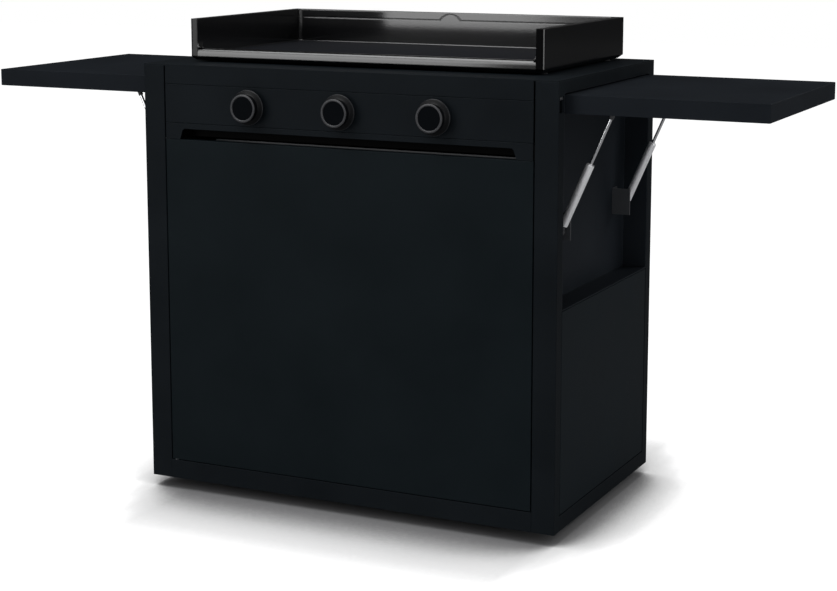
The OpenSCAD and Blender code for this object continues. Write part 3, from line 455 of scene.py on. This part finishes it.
tube_steel = metal("tube_steel", (0.86, 0.87, 0.89), (0.26, 0.38), (120, 120, 8), bare=0.6)
rod_chrome = metal("rod_chrome", (0.82, 0.83, 0.85), (0.14, 0.22), (120, 120, 8))
cap_black = sprayed("cap_black", (0.02, 0.021, 0.023), (0.05, 0.052, 0.055), (0.35, 0.45), 0.4)
corners = [side + "_" + end for side in ("left", "right") for end in ("front", "rear")]
tube_profile = [(0, 13), (6.2, 13), (7.1, 13.4), (7.5, 14.4), (7.5, 134), (7.2, 136.6), (6.2, 137.8),
                (3.4, 138), (3.05, 137.4), (3.05, 132), (0, 132)]
neck_profile = [(0, 4), (4.4, 4), (4.5, 5), (4.5, 13.5), (0, 13.5)]
foot_profile = [(4.1, -5), (6.3, -5), (7, -4.3), (7, 4.3), (6.3, 5), (4.1, 5), (4.1, -5)]
rod_profile = [(0, 113), (2.5, 113), (3, 113.5), (3, 232), (0, 232)]
head_profile = [(0, -5), (5.4, -5), (6, -4.4), (6, 4.4), (5.4, 5), (4, 5), (4, 9.4), (3.6, 9.7), (0, 9.7)]
head_r = 0.006
joints = {joint["name"]: joint for joint in frame["joints"]}
finish_with(cap_black, "shelf_pins")
for corner in corners:
    foot = np.array(joints["strut_swing_" + corner]["pos_m"])
    line = np.array(joints["strut_stroke_" + corner]["axis"])
    rod_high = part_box("strut_rod_" + corner)[1]
    reach = (rod_high[2] - head_r - foot[2]) / line[2] * 1000
    inwards = (0, 1, 0) if foot[1] < 0 else (0, -1, 0)
    ferrule_profile = [(0, reach - 22), (4.1, reach - 22), (4.5, reach - 21), (4.5, reach - 4),
                       (0, reach - 4)]
    tube = lathe("tube_" + corner, tube_profile, foot, line, finishes=[tube_steel])
    neck = lathe("tube_neck_" + corner, neck_profile, foot, line, 40, [cap_black])
    eye = lathe("tube_eye_" + corner, foot_profile, foot, inwards, 48, [cap_black])
    rod = lathe("rod_" + corner, rod_profile, foot, line, 40, [rod_chrome])
    ferrule = lathe("rod_ferrule_" + corner, ferrule_profile, foot, line, 40, [cap_black])
    head = lathe("rod_head_" + corner, head_profile, foot + line * reach / 1000, inwards, 40, [cap_black])
    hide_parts("strut_tube_" + corner)
    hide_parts("strut_rod_" + corner)
    for piece in (tube, neck, eye):
        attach(piece, "strut_tube_" + corner)
    for piece in (rod, ferrule, head):
        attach(piece, "strut_rod_" + corner)


# Dark strips: round black rubber strips on the posts, behind the gaps beside the drawer's front.
# They keep the gaps dark, as painted shade.
gap_shade_profile = [(0, 0), (3.2, 0), (4, 0.8), (4, 29.2), (3.2, 30), (0, 30)]
gap_shade_rubber = sprayed("gap_shade_rubber", (0.004, 0.004, 0.0045), (0.01, 0.01, 0.011), (0.6, 0.75), 0.1)
gap_shade_x, gap_shade_y, gap_shade_z = 0.381, -0.229, 0.7014
for name, x in (("left", -gap_shade_x), ("right", gap_shade_x)):
    gap_shade = lathe("drawer_gap_shade_" + name, gap_shade_profile, (x, gap_shade_y, gap_shade_z), (0, 0, 1), 32,
                   [gap_shade_rubber])
    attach(gap_shade, "cabinet")


# Casters: zinc plated steel forks, bolted by their plates under the cabinet's floor.
# Their wheels are solid black rubber, and so are the pads under the griddle plate.
zinc_plate = metal("zinc_plate", (0.42, 0.43, 0.45), (0.34, 0.48))
finish_with(zinc_plate, "caster_plates", "drawer_runners",
            "heat_shield", *["caster_fork_" + corner for corner in corners])
wheel_rubber = sprayed("wheel_rubber", (0.012, 0.012, 0.013), (0.03, 0.03, 0.031), (0.6, 0.75), 0.3)
finish_with(wheel_rubber, "plate_feet", *["caster_wheel_" + corner for corner in corners])


# Griddle plate: cast iron under black glossy enamel, which runs smooth over every edge. Its floor
# is matt and lighter. The right wall's front end is matt and painted darker, as shade. The left
# wall's front end and the right wall's outside keep a quarter of the gloss.
plate_enamel = sprayed("plate_enamel", (0.0012, 0.0013, 0.0016), (0.0035, 0.0036, 0.0041), (0.45, 0.55),
                       0.03, radius=0.003, pebble=260.0, bump=0.05)
finish_with(plate_enamel, "griddle_plate")


def not_beyond(tree, axis, level, fade):
    """A socket that falls from 1 to 0 where the piece's own X, Y or Z passes level, within fade."""
    rest = node(tree, "ShaderNodeMath", operation="SUBTRACT")
    rest.inputs[0].default_value = 1.0
    tree.links.new(beyond(tree, axis, level, fade), rest.inputs[1])
    return rest.outputs[0]


plate_floor_z, plate_front_y = 0.8615, -0.162
wall_inside_x, wall_rim_x, wall_outside_x = 0.355, 0.3682, 0.3702
plate_tree = plate_enamel.node_tree
plate_shader = plate_tree.nodes["Principled BSDF"]
plate_flat = node(plate_tree, "ShaderNodeNewGeometry")
plate_split = node(plate_tree, "ShaderNodeSeparateXYZ")
plate_up = node(plate_tree, "ShaderNodeMapRange", From_Min=0.9, From_Max=0.98)
plate_tree.links.new(plate_flat.outputs["Normal"], plate_split.inputs[0])
plate_tree.links.new(plate_split.outputs["Z"], plate_up.inputs["Value"])
plate_floor = both_masks(plate_tree, plate_up.outputs["Result"],
                         not_beyond(plate_tree, "Z", plate_floor_z, 0.002))
plate_front = not_beyond(plate_tree, "Y", plate_front_y, 0.002)
plate_right = both_masks(plate_tree, beyond(plate_tree, "X", wall_inside_x - 0.0005, 0.0005),
                         not_beyond(plate_tree, "X", wall_rim_x, 0.0008))
plate_end_painted_shade = both_masks(plate_tree, plate_right, plate_front)
plate_left = both_masks(plate_tree, not_beyond(plate_tree, "X", -wall_inside_x, 0.0005), plate_front)
plate_dim = node(plate_tree, "ShaderNodeMath", operation="MAXIMUM")
plate_tree.links.new(plate_left, plate_dim.inputs[0])
plate_tree.links.new(beyond(plate_tree, "X", wall_outside_x, 0.0005), plate_dim.inputs[1])
tinted(plate_enamel, plate_floor, (0.0062, 0.0067, 0.0083), 0.6)
# Painted shade: the right wall's front end is near black, and matt
tinted(plate_enamel, plate_end_painted_shade, (0.0008, 0.0008, 0.001), 0.6)
plate_dull = node(plate_tree, "ShaderNodeMath", operation="MAXIMUM")
plate_half = node(plate_tree, "ShaderNodeMath", operation="MULTIPLY_ADD")
duller_share = 0.75
plate_half.inputs[1].default_value = duller_share
plate_gloss = node(plate_tree, "ShaderNodeMapRange", To_Min=1.0, To_Max=0.0)
plate_tree.links.new(plate_floor, plate_dull.inputs[0])
plate_tree.links.new(plate_end_painted_shade, plate_dull.inputs[1])
plate_tree.links.new(plate_dim.outputs[0], plate_half.inputs[0])
plate_tree.links.new(plate_dull.outputs[0], plate_half.inputs[2])
plate_tree.links.new(plate_half.outputs[0], plate_gloss.inputs["Value"])
plate_tree.links.new(plate_gloss.outputs["Result"], plate_shader.inputs["Coat Weight"])
plate_tree.links.new(plate_shader.inputs["Normal"].links[0].from_socket, plate_shader.inputs["Coat Normal"])
plate_shader.inputs["Coat Roughness"].default_value = 0.1
plate_shader.inputs["Coat IOR"].default_value = 1.56


# Burners and gas train: plain steel burners, and brass valves on a brass manifold.
# The valves' stems are chromed and carry the knobs.
burner_steel = metal("burner_steel", (0.4, 0.39, 0.38), (0.35, 0.5))
finish_with(burner_steel, "burner_left", "burner_middle", "burner_right", "igniters")
valve_brass = metal("valve_brass", (0.6, 0.44, 0.2), (0.3, 0.42))
finish_with(valve_brass, "gas_manifold", "gas_valves", "valve_plug_left", "valve_plug_middle",
            "valve_plug_right")
finish_with(rod_chrome, "valve_stem_left", "valve_stem_middle", "valve_stem_right")


# Knobs: black moulded grips with a lighter bevelled ring round a flat centre, and a thin skirt
# whose rounded rim is painted lighter as a highlight.
# Each is pressed onto its valve stem.
knob_black = sprayed("knob_black", (0.0012, 0.0014, 0.0018), (0.004, 0.0045, 0.0055), (0.4, 0.48), 0.1)
knob_ring = sprayed("knob_ring", (0.024, 0.0245, 0.027), (0.036, 0.037, 0.04), (0.4, 0.48), 0.25)
# The skirt's rounded rim is painted lighter, as a highlight
knob_rim_painted_highlight = sprayed("knob_rim_painted_highlight", (0.008, 0.0085, 0.01), (0.014, 0.015, 0.017), (0.4, 0.48), 0.2)
knob_face = sprayed("knob_face", (0.0008, 0.0012, 0.0018), (0.002, 0.0028, 0.0038), (0.5, 0.6), 0.02)
knob_profile = [(0, 22), (3.05, 22), (3.05, 5), (11, 5), (11, 7.5), (31.5, 7.5), (32.6, 7.8), (33.4, 8.8),
                (33.5, 9.9), (33.3, 10.8), (32.6, 11.5), (31.6, 11.9), (29, 12.6), (26.4, 13.6), (25, 15),
                (24.6, 17), (24.8, 21), (25.2, 23.4), (26.4, 25), (27.2, 26.6), (27.1, 27.8), (26.4, 29),
                (24.9, 29.9), (23.5, 30), (22.9, 29.7), (22.4, 28.9), (22.1, 28.6), (0, 28.6)]
knob_depth = 0.03
for side in ("left", "middle", "right"):
    stem_low, stem_high = (np.array(c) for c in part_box("valve_stem_" + side))
    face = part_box("knob_" + side)[0][1] + knob_depth
    seat = ((stem_low[0] + stem_high[0]) / 2, face, (stem_low[2] + stem_high[2]) / 2)
    knob = lathe("knob_grip_" + side, knob_profile, seat, (0, -1, 0), 128,
                 [knob_black, knob_rim_painted_highlight, knob_black, knob_ring, knob_face], [5, 9, 20, 25])
    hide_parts("knob_" + side)
    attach(knob, "knob_" + side)
